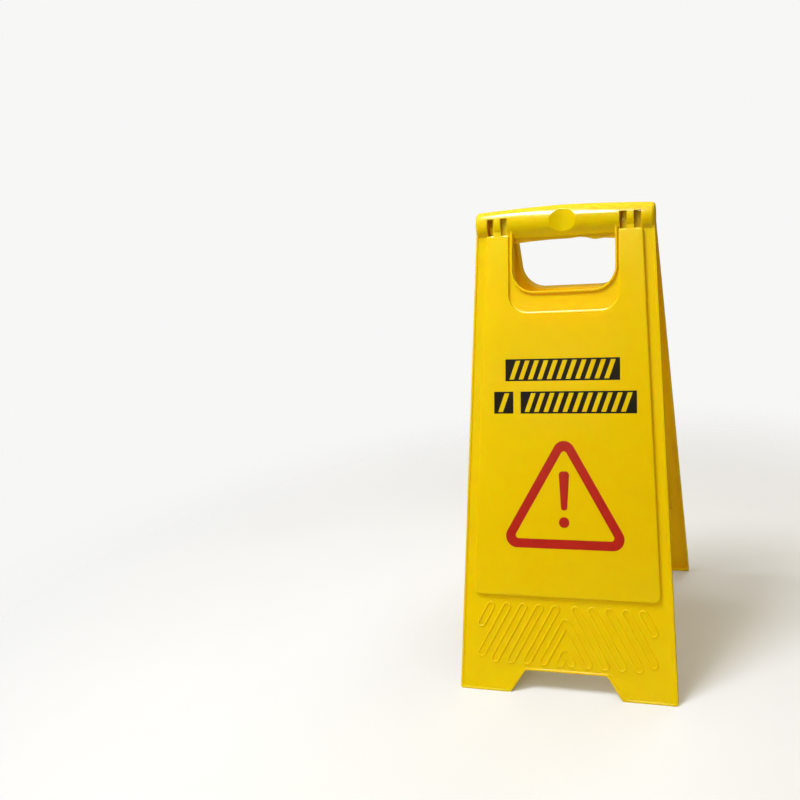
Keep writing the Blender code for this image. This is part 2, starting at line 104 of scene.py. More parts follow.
# Half of the carrying bar
BAR_HALF_LENGTH = 0.1136
BAR_HALF_HEIGHT = 0.0182
BAR_OUT = 0.0145
BAR_RISE = 0.0042
BAR_CROWN = 0.0045
BAR_END_RADIUS = 0.0045
NOTCH_RADIUS = 0.0352
NOTCH_AXIS_OUT = 0.0472
NOTCH_TILT = math.radians(5.9)

# Hinge
HINGE_X = 0.0842
TONGUE_WIDTH = 0.0086
WINDOW_WIDTH = 0.0088
WINDOW_HALF_DROP = 0.0100
EAR_OFFSET = 0.0106
EAR_WIDTH = 0.0028
EYE_RADIUS = 0.0060
PIN_RADIUS = 0.0030
BORE_RADIUS = 0.00308
HOOK_WIDTH = 0.0080
HOOK_SLOT = 0.0050
EAR_ROOT = 0.026
HOOK_BACKS = ((-0.0815, -0.0690), (-0.0917, -0.0872))
HOOK_BACK_OUT = (0.0070, 0.0084)
HOOK_BACK_DROP = (-0.0175, 0.0123)
EAR_BACKS = ((0.0745, 0.0797), (0.0888, 0.0988))
EAR_BACK_OUT = (0.0047, 0.0060)
EAR_BACK_DROP = (-0.0110, 0.0135)
PIN_HEAD_RADIUS = 0.0045
PIN_HEAD = 0.0012
PIN_OVERHANG = 0.0015

# Loop-shaped ribs above the feet
RIB_HALF_WIDTH = 0.0056
RIB_THICKNESS = 0.0024
RIB_HEIGHT = 0.0012
RIB_ROUND = 0.0008
RIB_PITCH = 0.0210
RIB_SLANT = math.radians(29.0)
RIB_TOP = 0.4720
RIB_FOOT = 0.5492
RIB_FIRST_X = 0.0096
RIB_LIMIT_X = 0.1145
RIB_START_X = 0.0010
RIB_SPLIT = 0.0004

# Printed graphics
INK_NEAR = 0.00003
INK = 0.00006
STRIPE_SLANT = math.radians(20.0)
STRIPE_PITCH = 0.0124
STRIPE_BORDER = 0.0020
STRIPE_BANDS = {
    "stripe_band_upper": (-0.0745, 0.0705, 0.1666, 0.1940),
    "stripe_band_short": (-0.0895, -0.0645, 0.2072, 0.2346),
    "stripe_band_long": (-0.0549, 0.0908, 0.2072, 0.2346),
}
TRIANGLE_TOP = 0.2685
TRIANGLE_SIDE = 0.1703
TRIANGLE_CORNER = 0.0142
TRIANGLE_STROKE = 0.0115
MARK_TOP = 0.3060
MARK_FOOT = 0.3540
MARK_TOP_HALF = 0.0068
MARK_FOOT_HALF = 0.0038
MARK_DOT_DROP = 0.3690
MARK_DOT_RADIUS = 0.0066

AXIS_HEIGHT = PANEL_DROP * math.cos(HALF_SPREAD) - FLANGE_OUT * math.sin(HALF_SPREAD)
TAPER = (FOOT_HALF_WIDTH - AXIS_HALF_WIDTH) / PANEL_DROP
FINE = 2

# Segment counts that don't follow FINE: the booleans close cleanly with these
BAR_STEPS = 18
BAR_RING = 10
NOTCH_SEGMENTS = 192
DOT_SEGMENTS = 48


def half_width(drop):
    return AXIS_HALF_WIDTH + TAPER * drop


def new_collection(name):
    group = bpy.data.collections.new(name)
    bpy.context.scene.collection.children.link(group)
    return group


def new_object(name, data, group):
    thing = bpy.data.objects.new(name, data)
    group.objects.link(thing)
    return thing


# Outlines: lists of (x, drop) points in the panel's frame

def arc(centre, radius, start, end, steps):
    points = []
    for step in range(steps + 1):
        angle = start + (end - start) * step / steps
        points.append((centre[0] + radius * math.cos(angle), centre[1] + radius * math.sin(angle)))
    return points


def rounded(corners, steps=5):
    """Outline through (x, drop, radius) corners, each one rounded by an arc."""
    outline = []
    count = len(corners)
    for index, (x, drop, radius) in enumerate(corners):
        corner = Vector((x, drop))
        back = Vector(corners[index - 1][:2]) - corner
        ahead = Vector(corners[(index + 1) % count][:2]) - corner
        if radius == 0.0:
            outline.append(tuple(corner))
            continue
        back.normalize()
        ahead.normalize()
        half = back.angle(ahead) / 2
        middle = (back + ahead).normalized()
        centre = corner + middle * (radius / math.sin(half))
        first = corner + back * (radius / math.tan(half)) - centre
        last = corner + ahead * (radius / math.tan(half)) - centre
        start = math.atan2(first.y, first.x)
        sweep = math.atan2(last.y, last.x) - start
        sweep = (sweep + math.pi) % (2 * math.pi) - math.pi
        outline += arc(centre, radius, start, start + sweep, steps * FINE)
    return outline


def panel_outline(inset, foot=None):
    radius = SMALL_CORNER
    if foot is None:
        foot = PANEL_DROP + FOOT_SPARE - inset
    right = [
        (half_width(0.0) - inset, inset, 0.0),
        (half_width(foot) - inset, foot, radius),
        (NOTCH_FOOT_HALF + inset * 1.7, foot, radius),
        (NOTCH_TOP_HALF + inset * 0.4, NOTCH_DROP - inset, radius),
    ]
    left = [(-x, drop, round_off) for x, drop, round_off in reversed(right)]
    return rounded(right + left, 4)


def raised_outline(inset):
    top = RAISED_TOP + inset
    foot = RAISED_FOOT - inset
    side = RAISED_INSET + inset
    right = [
        (half_width(top) - side, top, 0.003),
        (half_width(foot) - side, foot, RAISED_CORNER - inset),
    ]
    left = [(-x, drop, radius) for x, drop, radius in reversed(right)]
    return rounded(right + left, 7)


def edge_wave(x):
    offset = 0.0
    for centre, half_length, height in (WAVE_CREST, WAVE_DIP):
        if abs(x - centre) < half_length:
            offset += height * (1 + math.cos(math.pi * (x - centre) / half_length)) / 2
    return offset


def opening_outline(wave_side):
    half = OPENING_HALF
    foot = OPENING_FOOT
    radius = OPENING_CORNER
    outline = []
    steps = 40 * FINE
    for step in range(steps + 1):
        x = half * (2 * step / steps - 1)
        arch = OPENING_TOP_MIDDLE + (OPENING_TOP_END - OPENING_TOP_MIDDLE) * (x / half) ** 2
        outline.append((x, arch - edge_wave(x * wave_side)))
    outline += arc((half - radius, foot - radius), radius, 0.0, math.pi / 2, 14 * FINE)
    outline += arc((radius - half, foot - radius), radius, math.pi / 2, math.pi, 14 * FINE)
    return outline


def u_outline(grow, top, half=OPENING_HALF, foot=OPENING_FOOT, radius=OPENING_CORNER):
    half += grow
    foot += grow
    radius += grow
    return rounded([(half, top, 0.0), (half, foot, radius), (-half, foot, radius), (-half, top, 0.0)], 10)


def capsule(top, foot, radius):
    along = math.atan2(foot[1] - top[1], foot[0] - top[0])
    quarter = math.pi / 2
    outline = arc(foot, radius, along - quarter, along + quarter, 6 * FINE)
    outline += arc(top, radius, along + quarter, along + 3 * quarter, 6 * FINE)
    return outline


def rounded_triangle(inset):
    side = TRIANGLE_SIDE - inset * 2 * math.sqrt(3)
    height = side * math.sqrt(3) / 2
    radius = TRIANGLE_CORNER - min(inset, TRIANGLE_CORNER - 0.004)
    base = TRIANGLE_TOP - TRIANGLE_CORNER + TRIANGLE_SIDE * math.sqrt(3) / 2 - inset
    return rounded([(0.0, base - height, radius), (side / 2, base, radius), (-side / 2, base, radius)], 10)


# Solids

def to_mesh(curve_object, group):
    """Replace a curve object by a closed mesh object."""
    depsgraph = bpy.context.evaluated_depsgraph_get()
    mesh = bpy.data.meshes.new_from_object(curve_object.evaluated_get(depsgraph))
    mesh.transform(curve_object.matrix_basis)
    name = curve_object.name
    bpy.data.objects.remove(curve_object, do_unlink=True)
    shape = bmesh.new()
    shape.from_mesh(mesh)
    bmesh.ops.remove_doubles(shape, verts=shape.verts, dist=0.00001)
    bmesh.ops.dissolve_limit(shape, angle_limit=0.002, verts=shape.verts, edges=shape.edges)
    bmesh.ops.recalc_face_normals(shape, faces=shape.faces)
    shape.to_mesh(mesh)
    shape.free()
    return new_object(name, mesh, group)


def plate(name, outlines, out_from, out_to, group, edge=0.0):
    """A flat solid between two distances out from the closing plane, with its edges rounded."""
    curve = bpy.data.curves.new(name, 'CURVE')
    curve.dimensions = '2D'
    curve.fill_mode = 'BOTH'
    curve.extrude = (out_to - out_from) / 2 - edge
    curve.bevel_depth = edge
    curve.bevel_resolution = 1 + FINE
    curve.offset = -edge
    for outline in outlines:
        spline = curve.splines.new('POLY')
        spline.points.add(len(outline) - 1)
        for point, (x, drop) in zip(spline.points, outline):
            point.co = (x, -drop, 0.0, 1.0)
        spline.use_cyclic_u = True
    thing = new_object(name, curve, group)
    middle = Vector((0.0, -(out_from + out_to) / 2, 0.0))
    thing.matrix_basis = Matrix.Translation(middle) @ Matrix.Rotation(math.pi / 2, 4, 'X')
    return to_mesh(thing, group)


def box(name, x_range, out_range, drop_range, group):
    shape = bmesh.new()
    bmesh.ops.create_cube(shape, size=1.0)
    size = Vector((x_range[1] - x_range[0], out_range[1] - out_range[0], drop_range[1] - drop_range[0]))
    centre = Vector((sum(x_range) / 2, -sum(out_range) / 2, -sum(drop_range) / 2))
    bmesh.ops.scale(shape, vec=size, verts=shape.verts)
    bmesh.ops.translate(shape, vec=centre, verts=shape.verts)
    mesh = bpy.data.meshes.new(name)
    shape.to_mesh(mesh)
    shape.free()
    return new_object(name, mesh, group)


def cylinder_along_x(name, x_range, radius, group, segments=48):
    shape = bmesh.new()
    bmesh.ops.create_cone(
        shape, cap_ends=True, segments=segments, radius1=radius, radius2=radius,
        depth=x_range[1] - x_range[0])
    turn = Matrix.Translation((sum(x_range) / 2, 0.0, 0.0)) @ Matrix.Rotation(math.pi / 2, 4, 'Y')
    bmesh.ops.transform(shape, matrix=turn, verts=shape.verts)
    mesh = bpy.data.meshes.new(name)
    shape.to_mesh(mesh)
    shape.free()
    return new_object(name, mesh, group)


def boolean(target, tool, operation):
    modifier = target.modifiers.new(tool.name, 'BOOLEAN')
    modifier.operation = operation
    modifier.solver = 'EXACT'
    modifier.object = tool


def joined(name, things, group):
    shape = bmesh.new()
    for thing in things:
        shape.from_mesh(thing.data)
        bpy.data.objects.remove(thing, do_unlink=True)
    mesh = bpy.data.meshes.new(name)
    shape.to_mesh(mesh)
    shape.free()
    return new_object(name, mesh, group)


# The moulding's features

def bar_rod(name, shrink, end_radius, group):
    """The oval bar, bowed upwards at the middle."""
    half_length = BAR_HALF_LENGTH - shrink
    curve = bpy.data.curves.new(name, 'CURVE')
    curve.dimensions = '3D'
    curve.bevel_depth = BAR_HALF_HEIGHT - shrink
    curve.bevel_resolution = BAR_RING
    curve.use_fill_caps = True
    steps = BAR_STEPS
    spline = curve.splines.new('POLY')
    spline.points.add(steps)
    for step in range(steps + 1):
        x = half_length * (2 * step / steps - 1)
        swell = BAR_CROWN / 2 * (1 - (abs(x) / BAR_HALF_LENGTH) ** 1.5)
        spline.points[step].co = (x, 0.0, BAR_RISE + swell, 1.0)
        spline.points[step].radius = 1 + swell / BAR_HALF_HEIGHT
    thing = new_object(name, curve, group)
    flatten = (BAR_OUT - shrink) / (BAR_HALF_HEIGHT - shrink)
    thing.matrix_basis = Matrix.Diagonal((1.0, flatten, 1.0, 1.0))
    rod = to_mesh(thing, group)
    if end_radius > 0.0:
        bevel = rod.modifiers.new("round_ends", 'BEVEL')
        bevel.width = end_radius
        bevel.segments = 3 * FINE
        bevel.limit_method = 'ANGLE'
        bevel.angle_limit = math.radians(60)
    return rod


def finger_notch(name, radius, group):
    shape = bmesh.new()
    bmesh.ops.create_cone(
        shape, cap_ends=True, segments=NOTCH_SEGMENTS, radius1=radius, radius2=radius, depth=0.1)
    half_segment = Matrix.Rotation(math.pi / NOTCH_SEGMENTS, 4, 'Z')
    bmesh.ops.transform(shape, matrix=half_segment, verts=shape.verts)
    lean = Matrix.Translation((0.0, -NOTCH_AXIS_OUT, BAR_RISE)) @ Matrix.Rotation(NOTCH_TILT, 4, 'X')
    bmesh.ops.transform(shape, matrix=lean, verts=shape.verts)
    mesh = bpy.data.meshes.new(name)
    shape.to_mesh(mesh)
    shape.free()
    return new_object(name, mesh, group)


def rib_centre_lines():
    lines = []
    inset = RIB_HALF_WIDTH
    tangent = math.tan(RIB_SLANT)
    for index in range(-2, 5):
        x_at_top = RIB_FIRST_X + RIB_PITCH * index
        enters = RIB_TOP + (RIB_START_X - x_at_top) / tangent
        leaves = RIB_TOP + (RIB_LIMIT_X - inset - x_at_top) / tangent
        first = max(RIB_TOP + inset, enters)
        last = min(RIB_FOOT - inset, leaves)
        top = (x_at_top + (first - RIB_TOP) * tangent, first)
        foot = (x_at_top + (last - RIB_TOP) * tangent, last)
        lines.append((top, foot))
    return lines


def slanted_ribs(side, group):
    """The loop-shaped ribs of one half of a panel, cut off at the panel's centre line."""
    ribs = []
    for (x_top, top), (x_foot, foot) in rib_centre_lines():
        ends = (side * x_top, top), (side * x_foot, foot)
        loop = [capsule(*ends, RIB_HALF_WIDTH), capsule(*ends, RIB_HALF_WIDTH - RIB_THICKNESS)]
        name = f"rib_{side}_{len(ribs)}"
        out_range = FLANGE_OUT - 0.0016, FLANGE_OUT + RIB_HEIGHT
        ribs.append(plate(name, loop, *out_range, group, RIB_ROUND))
    ribs = joined(f"ribs_{side}", ribs, group)
    other_half = sorted((side * RIB_SPLIT, -side * 0.05))
    cut = box(f"rib_split_{side}", other_half, (-0.01, 0.03), (RIB_TOP - 0.03, RIB_FOOT + 0.03), group)
    boolean(ribs, cut, 'DIFFERENCE')
    return ribs


def window_blocks(group):
    blocks = []
    for side in (-1, 1):
        for direction in (-1, 1):
            near = HINGE_X + direction * TONGUE_WIDTH / 2
            far = HINGE_X + direction * (TONGUE_WIDTH / 2 + WINDOW_WIDTH)
            x_range = sorted((side * near, side * far))
            drop_range = (-WINDOW_HALF_DROP, WINDOW_HALF_DROP)
            name = f"window_{len(blocks)}"
            blocks.append(box(name, x_range, (BORE_RADIUS, 0.03), drop_range, group))
    return joined("windows", blocks, group)


def hinge_hook(group):
    x_range = (-HINGE_X - HOOK_WIDTH / 2, -HINGE_X + HOOK_WIDTH / 2)
    past = (x_range[0] - 0.001, x_range[1] + 0.001)
    hook = cylinder_along_x("hook", x_range, EYE_RADIUS, group)
    boolean(hook, box("hook_web", x_range, (0.0040, 0.0118), (-0.0040, 0.0045), group), 'UNION')
    boolean(hook, cylinder_along_x("hook_bore", past, BORE_RADIUS, group), 'DIFFERENCE')
    slot = box("hook_slot", past, (-0.01, 0.0), (-HOOK_SLOT / 2, HOOK_SLOT / 2), group)
    boolean(hook, slot, 'DIFFERENCE')
    return hook


def hinge_ear(name, x, group):
    x_range = (x - EAR_WIDTH / 2, x + EAR_WIDTH / 2)
    past = (x_range[0] - 0.001, x_range[1] + 0.001)
    ear = cylinder_along_x(name, x_range, EYE_RADIUS, group)
    stem = box(name + "_stem", x_range, (0.0006, 0.0056), (0.0012, EAR_ROOT), group)
    root = box(name + "_root", x_range, (0.0010, 0.0100), (0.0125, EAR_ROOT + 0.0008), group)
    boolean(ear, stem, 'UNION')
    boolean(ear, root, 'UNION')
    boolean(ear, cylinder_along_x(name + "_bore", past, BORE_RADIUS, group), 'DIFFERENCE')
    return ear


def build_moulding(name, wave_side, group):
    skin = plate(name, [panel_outline(0.0)], -0.002, FLANGE_OUT + RIM_HEIGHT, group, RIM_ROUND)
    sunk = plate("rim_pocket", [panel_outline(RIM_WIDTH)], FLANGE_OUT, 0.03, group, RIM_ROUND)
    boolean(skin, sunk, 'DIFFERENCE')
    raised = plate("raised", [raised_outline(0.0)], 0.004, RAISED_OUT, group, RAISED_ROUND)
    recess = u_outline(0.0, -0.02, RECESS_HALF, RECESS_FOOT, RECESS_CORNER)
    boolean(raised, plate("recess", [recess], RECESS_OUT, 0.03, group, RECESS_ROUND), 'DIFFERENCE')
    boolean(skin, raised, 'UNION')
    lip = plate("lip", [u_outline(LIP_WIDTH, 0.004)], 0.0045, LIP_OUT, group, LIP_ROUND)
    boolean(skin, lip, 'UNION')
    pocket_half = OPENING_HALF - POCKET_MARGIN
    pocket = box("grip_pocket", (-pocket_half, pocket_half), (WEB_OUT, 0.03), (-0.01, 0.026), group)
    boolean(skin, pocket, 'DIFFERENCE')
    for side in (-1, 1):
        boolean(skin, slanted_ribs(side, group), 'UNION')
    bar = bar_rod("bar", 0.0, BAR_END_RADIUS, group)
    boolean(bar, finger_notch("finger_notch", NOTCH_RADIUS, group), 'DIFFERENCE')
    boolean(skin, bar, 'UNION')
    half_tongue = TONGUE_WIDTH / 2 + 0.001
    for side in (-1, 1):
        x_range = (side * HINGE_X - half_tongue, side * HINGE_X + half_tongue)
        tongue = box(f"tongue_{side}", x_range, (0.0065, RAISED_OUT - 0.0001), (-0.003, 0.015), group)
        boolean(skin, tongue, 'UNION')

    frame_wall = plate("frame_wall", [u_outline(WALL, 0.008)], -0.02, 0.03, group)
    foot_floor = AXIS_HEIGHT / math.cos(HALF_SPREAD) - WALL
    cavity = plate("cavity", [panel_outline(WALL, foot_floor)], -0.001, FLANGE_OUT - WALL, group)
    boolean(cavity, frame_wall, 'DIFFERENCE')
    boolean(skin, cavity, 'DIFFERENCE')
    deep = plate("deep_cavity", [raised_outline(WALL)], -0.0005, RAISED_OUT - WALL, group)
    recess_back = u_outline(WALL, -0.02, RECESS_HALF, RECESS_FOOT, RECESS_CORNER)
    boolean(deep, plate("recess_back", [recess_back], -0.02, 0.03, group), 'DIFFERENCE')
    boolean(skin, deep, 'DIFFERENCE')
    bore = bar_rod("bar_bore", WALL, 0.0, group)
    boolean(bore, finger_notch("notch_back", NOTCH_RADIUS + WALL, group), 'DIFFERENCE')
    boolean(skin, bore, 'DIFFERENCE')
    handle_hole = plate("handle_hole", [opening_outline(wave_side)], -0.02, 0.03, group)
    boolean(skin, handle_hole, 'DIFFERENCE')
    boolean(skin, window_blocks(group), 'DIFFERENCE')
    for x_range in HOOK_BACKS:
        back = box(f"hook_back_{len(group.objects)}", x_range, HOOK_BACK_OUT, HOOK_BACK_DROP, group)
        boolean(skin, back, 'UNION')

    wide = (-0.2, 0.2)
    boolean(skin, box("closing_plane", wide, (-0.05, HALF_GAP), (-0.05, 0.7), group), 'DIFFERENCE')
    stop = box("stop_plane", wide, (-0.05, STOP_GAP), (-0.06, 0.0), group)
    stop.data.transform(Matrix.Rotation(HALF_SPREAD, 4, 'X'))
    boolean(skin, stop, 'DIFFERENCE')
    boolean(skin, hinge_hook(group), 'UNION')
    for direction in (-1, 1):
        ear = hinge_ear(f"ear_{direction}", HINGE_X + direction * EAR_OFFSET, group)
        boolean(skin, ear, 'UNION')
    for x_range in EAR_BACKS:
        back = box(f"ear_back_{len(group.objects)}", x_range, EAR_BACK_OUT, EAR_BACK_DROP, group)
        boolean(skin, back, 'UNION')
    floor = box("floor", wide, (-0.3, 0.3), (AXIS_HEIGHT, AXIS_HEIGHT + 0.1), group)
    floor.data.transform(Matrix.Rotation(HALF_SPREAD, 4, 'X'))
    boolean(skin, floor, 'DIFFERENCE')

    depsgraph = bpy.context.evaluated_depsgraph_get()
    mesh = bpy.data.meshes.new_from_object(skin.evaluated_get(depsgraph))
    mesh.name = name
    for tool in list(group.objects):
        bpy.data.objects.remove(tool, do_unlink=True)
    return mesh


def build_pin(name, group):
    tip = -EAR_OFFSET - EAR_WIDTH / 2 - PIN_OVERHANG
    shoulder = EAR_OFFSET + EAR_WIDTH / 2 + 0.0003
    end = shoulder + PIN_HEAD
    profile = [(0.0, tip)]
    for step in range(5):
        angle = math.pi / 2 * step / 4
        profile.append((PIN_RADIUS - 0.0009 * (1 - math.sin(angle)), tip + 0.0009 * (1 - math.cos(angle))))
    profile += [(PIN_RADIUS, shoulder), (PIN_HEAD_RADIUS - 0.0001, shoulder)]
    for step in range(5):
        angle = math.pi / 2 * step / 4
        profile.append((
            PIN_HEAD_RADIUS - 0.0007 * (1 - math.cos(angle)), end - 0.0007 * (1 - math.sin(angle))))
    profile.append((0.0, end))
    shape = bmesh.new()
    points = [shape.verts.new((radius, 0.0, along)) for radius, along in profile]
    for first, second in zip(points, points[1:]):
        shape.edges.new((first, second))
    bmesh.ops.spin(
        shape, geom=shape.verts[:] + shape.edges[:], axis=(0, 0, 1), cent=(0, 0, 0), steps=48,
        angle=2 * math.pi, use_merge=True)
    bmesh.ops.remove_doubles(shape, verts=shape.verts, dist=0.000001)
    bmesh.ops.recalc_face_normals(shape, faces=shape.faces)
    turn = Matrix.Translation((HINGE_X, 0.0, 0.0)) @ Matrix.Rotation(math.pi / 2, 4, 'Y')
    bmesh.ops.transform(shape, matrix=turn, verts=shape.verts)
    mesh = bpy.data.meshes.new(name)
    shape.to_mesh(mesh)
    shape.free()
    return new_object(name, mesh, group)


# Graphics

def ink_film(name, outlines, group):
    near = RAISED_OUT + INK_NEAR
    return plate(name, outlines, near, near + INK, group)


def stripe_band(name, x_from, x_to, top, foot, group):
    lean = (foot - top - 2 * STRIPE_BORDER) * math.tan(STRIPE_SLANT)
    outlines = [[(x_from, top), (x_to, top), (x_to, foot), (x_from, foot)]]
    free = x_to - x_from - 2 * STRIPE_BORDER - lean
    count = max(1, round(free / STRIPE_PITCH))
    pitch = free / count
    bare = pitch * 0.5
    for index in range(count):
        left = x_from + STRIPE_BORDER + pitch * index + bare / 2
        outlines.append([
            (left + lean, top + STRIPE_BORDER), (left + lean + bare, top + STRIPE_BORDER),
            (left + bare, foot - STRIPE_BORDER), (left, foot - STRIPE_BORDER)])
    return ink_film(name, outlines, group)


def build_graphics(group):
    dot_sweep = 2 * math.pi * (DOT_SEGMENTS - 1) / DOT_SEGMENTS
    made = {}
    for label, (x_from, x_to, top, foot) in STRIPE_BANDS.items():
        made[label] = stripe_band(label, x_from, x_to, top, foot, group)
    made["warning_triangle"] = ink_film(
        "warning_triangle", [rounded_triangle(0.0), rounded_triangle(TRIANGLE_STROKE)], group)
    made["warning_mark_bar"] = ink_film("warning_mark_bar", [rounded([
        (MARK_TOP_HALF, MARK_TOP, 0.0045), (MARK_FOOT_HALF, MARK_FOOT, 0.003),
        (-MARK_FOOT_HALF, MARK_FOOT, 0.003), (-MARK_TOP_HALF, MARK_TOP, 0.0045)], 8)], group)
    made["warning_mark_dot"] = ink_film(
        "warning_mark_dot", [arc((0.0, MARK_DOT_DROP), MARK_DOT_RADIUS, 0.0, dot_sweep, DOT_SEGMENTS - 1)],
        group)
    return made


# Materials

PLASTIC_IOR = 1.49
INK_IOR = 1.47
GLOW_WEIGHT = 0.5
GLOW_RADIUS = (1.0, 0.35, 0.02)
GLOW_SCALE = 0.009
SCUFF_COLOUR = (0.95, 0.74, 0.25, 1.0)


class Nodes:
    """A short way to write a node tree."""

    def __init__(self, name):
        self.material = bpy.data.materials.new(name)
        self.material.use_nodes = True
        self.tree = self.material.node_tree
        self.shader = self.tree.nodes["Principled BSDF"]

    def add(self, kind, inputs=(), **settings):
        node = self.tree.nodes.new(kind)
        for key, value in settings.items():
            setattr(node, key, value)
        for key, value in dict(inputs).items():
            if isinstance(value, bpy.types.NodeSocket):
                self.tree.links.new(value, node.inputs[key])
            else:
                node.inputs[key].default_value = value
        return node

    def noise(self, coordinates, scale, detail=2.0, roughness=0.5):
        return self.add('ShaderNodeTexNoise', {
            "Vector": coordinates, "Scale": scale, "Detail": detail, "Roughness": roughness}).outputs["Fac"]

    def remap(self, value, low, high, out_low, out_high):
        node = self.add('ShaderNodeMapRange', {
            "Value": value, "From Min": low, "From Max": high, "To Min": out_low, "To Max": out_high})
        return node.outputs["Result"]

    def math(self, operation, first, second):
        return self.add('ShaderNodeMath', {0: first, 1: second}, operation=operation).outputs[0]

    def mix(self, factor, first, second):
        node = self.add('ShaderNodeMix', data_type='RGBA')
        for socket, value in ((node.inputs[0], factor), (node.inputs[6], first), (node.inputs[7], second)):
            if isinstance(value, bpy.types.NodeSocket):
                self.tree.links.new(value, socket)
            else:
                socket.default_value = value
        return node.outputs[2]

    def link(self, output, socket):
        self.tree.links.new(output, self.shader.inputs[socket])


def moulded_plastic(name, deep, light, roughness):
    """Glossy polypropylene: slight colour drift, faint sink waves, fine grain, light scuffs, soft edges."""
    kit = Nodes(name)
    place = kit.add('ShaderNodeTexCoord').outputs["Object"]
    drift = kit.noise(place, 7.0, 3.0)
    cloud = kit.noise(place, 60.0, 4.0)
    tone = kit.math('ADD', kit.math('MULTIPLY', drift, 0.7), kit.math('MULTIPLY', cloud, 0.3))
    colour = kit.mix(kit.remap(tone, 0.35, 0.65, 0.0, 1.0), deep, light)
    stretched = kit.add('ShaderNodeMapping', {"Vector": place, "Scale": (1.0, 1.0, 0.08)}).outputs[0]
    scuff = kit.remap(kit.noise(stretched, 420.0, 3.0, 0.7), 0.62, 0.74, 0.0, 1.0)
    patch = kit.remap(kit.noise(place, 16.0, 2.0), 0.5, 0.72, 0.0, 1.0)
    worn = kit.math('MULTIPLY', scuff, patch)
    kit.link(kit.mix(kit.math('MULTIPLY', worn, 0.10), colour, SCUFF_COLOUR), "Base Color")
    base_rough = kit.remap(kit.noise(place, 35.0, 3.0), 0.3, 0.7, roughness - 0.03, roughness + 0.05)
    kit.link(kit.math('ADD', base_rough, kit.math('MULTIPLY', worn, 0.18)), "Roughness")
    grain = kit.noise(place, 2600.0, 1.0)
    waves = kit.noise(place, 26.0, 1.0)
    bevel = kit.add('ShaderNodeBevel', {"Radius": 0.0007}, samples=4)
    sink = kit.add('ShaderNodeBump', {
        "Height": waves, "Strength": 0.25, "Distance": 0.0022, "Normal": bevel.outputs[0]})
    fine = kit.add('ShaderNodeBump', {
        "Height": grain, "Strength": 0.10, "Distance": 0.0001, "Normal": sink.outputs[0]})
    kit.link(fine.outputs[0], "Normal")
    kit.shader.inputs["Metallic"].default_value = 0.0
    kit.shader.inputs["IOR"].default_value = PLASTIC_IOR
    kit.shader.inputs["Subsurface Weight"].default_value = GLOW_WEIGHT
    kit.shader.inputs["Subsurface Radius"].default_value = GLOW_RADIUS
    kit.shader.inputs["Subsurface Scale"].default_value = GLOW_SCALE
    return kit.material


def printed_ink(name, deep, light):
    """Screen-printed ink: slightly uneven tone, a fine speckle and a duller gloss than the plastic."""
    kit = Nodes(name)
    place = kit.add('ShaderNodeTexCoord').outputs["Object"]
    tone = kit.remap(kit.noise(place, 90.0, 4.0), 0.3, 0.7, 0.0, 1.0)
    kit.link(kit.mix(tone, deep, light), "Base Color")
    kit.link(kit.remap(kit.noise(place, 700.0, 2.0), 0.3, 0.7, 0.30, 0.42), "Roughness")
    bump = kit.add('ShaderNodeBump', {
        "Height": kit.noise(place, 1800.0, 1.0), "Strength": 0.12, "Distance": 0.0001})
    kit.link(bump.outputs[0], "Normal")
    kit.shader.inputs["IOR"].default_value = INK_IOR
    return kit.material


def floor_material():
    """Pale floor with a faint mottle; it dissolves into the pale background away from the sign."""
    kit = Nodes("studio_floor")
    place = kit.add('ShaderNodeTexCoord').outputs["Object"]
    tone = kit.remap(kit.noise(place, 3.0, 3.0), 0.3, 0.7, 0.0, 1.0)
    kit.link(kit.mix(tone, (0.70, 0.75, 0.95, 1.0), (0.73, 0.78, 0.98, 1.0)), "Base Color")
    kit.shader.inputs["Roughness"].default_value = 0.8
    kit.shader.inputs["Specular IOR Level"].default_value = 0.2
    away = kit.add('ShaderNodeVectorMath', {0: place}, operation='LENGTH').outputs["Value"]
    kit.link(kit.add('ShaderNodeMapRange', {
        "Value": away, "From Min": 0.45, "From Max": 1.25, "To Min": 1.0, "To Max": 0.0},
        interpolation_type='SMOOTHSTEP').outputs["Result"], "Alpha")
    return kit.material


def finish_piece(thing, body, node, material, turn, smooth=25.0):
    thing.data.materials.clear()
    thing.data.materials.append(material)
    thing.data.transform(turn)
    thing.data.shade_smooth()
    thing.data.set_sharp_from_angle(angle=math.radians(smooth))
    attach(thing, body)
    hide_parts(node)


sign = new_collection("wet_floor_sign_looks")
tools = new_collection("tools")
yellow = moulded_plastic("yellow_moulding", (0.80, 0.575, 0.0, 1.0), (0.84, 0.605, 0.0, 1.0), 0.16)
pin_yellow = moulded_plastic("pin_moulding", (0.86, 0.50, 0.0, 1.0), (0.90, 0.54, 0.0, 1.0), 0.25)
black = printed_ink("black_ink", (0.004, 0.004, 0.003, 1.0), (0.008, 0.007, 0.005, 1.0))
red = printed_ink("red_ink", (0.40, 0.006, 0.003, 1.0), (0.47, 0.010, 0.004, 1.0))

for prefix, facing, wave_side, pin_node in (
        ("front", 0.0, 1, "hinge_pin_right"), ("back", math.pi, -1, "hinge_pin_left")):
    turn = Matrix.Translation((0.0, 0.0, AXIS_HEIGHT))
    turn = turn @ Matrix.Rotation(facing, 4, 'Z') @ Matrix.Rotation(-HALF_SPREAD, 4, 'X')
    mesh = build_moulding(f"{prefix}_panel_looks", wave_side, tools)
    panel = new_object(f"{prefix}_panel_looks", mesh, sign)
    finish_piece(panel, prefix, f"{prefix}_panel", yellow, turn)
    pin = build_pin(f"{pin_node}_looks", sign)
    finish_piece(pin, prefix, pin_node, pin_yellow, turn)
    for label, thing in build_graphics(sign).items():
        thing.name = f"{prefix}_{label}_looks"
        ink, slot = (black, "black_print") if label.startswith("stripe") else (red, "red_print")
        finish_piece(thing, prefix, f"{prefix}_{label}", ink, turn)

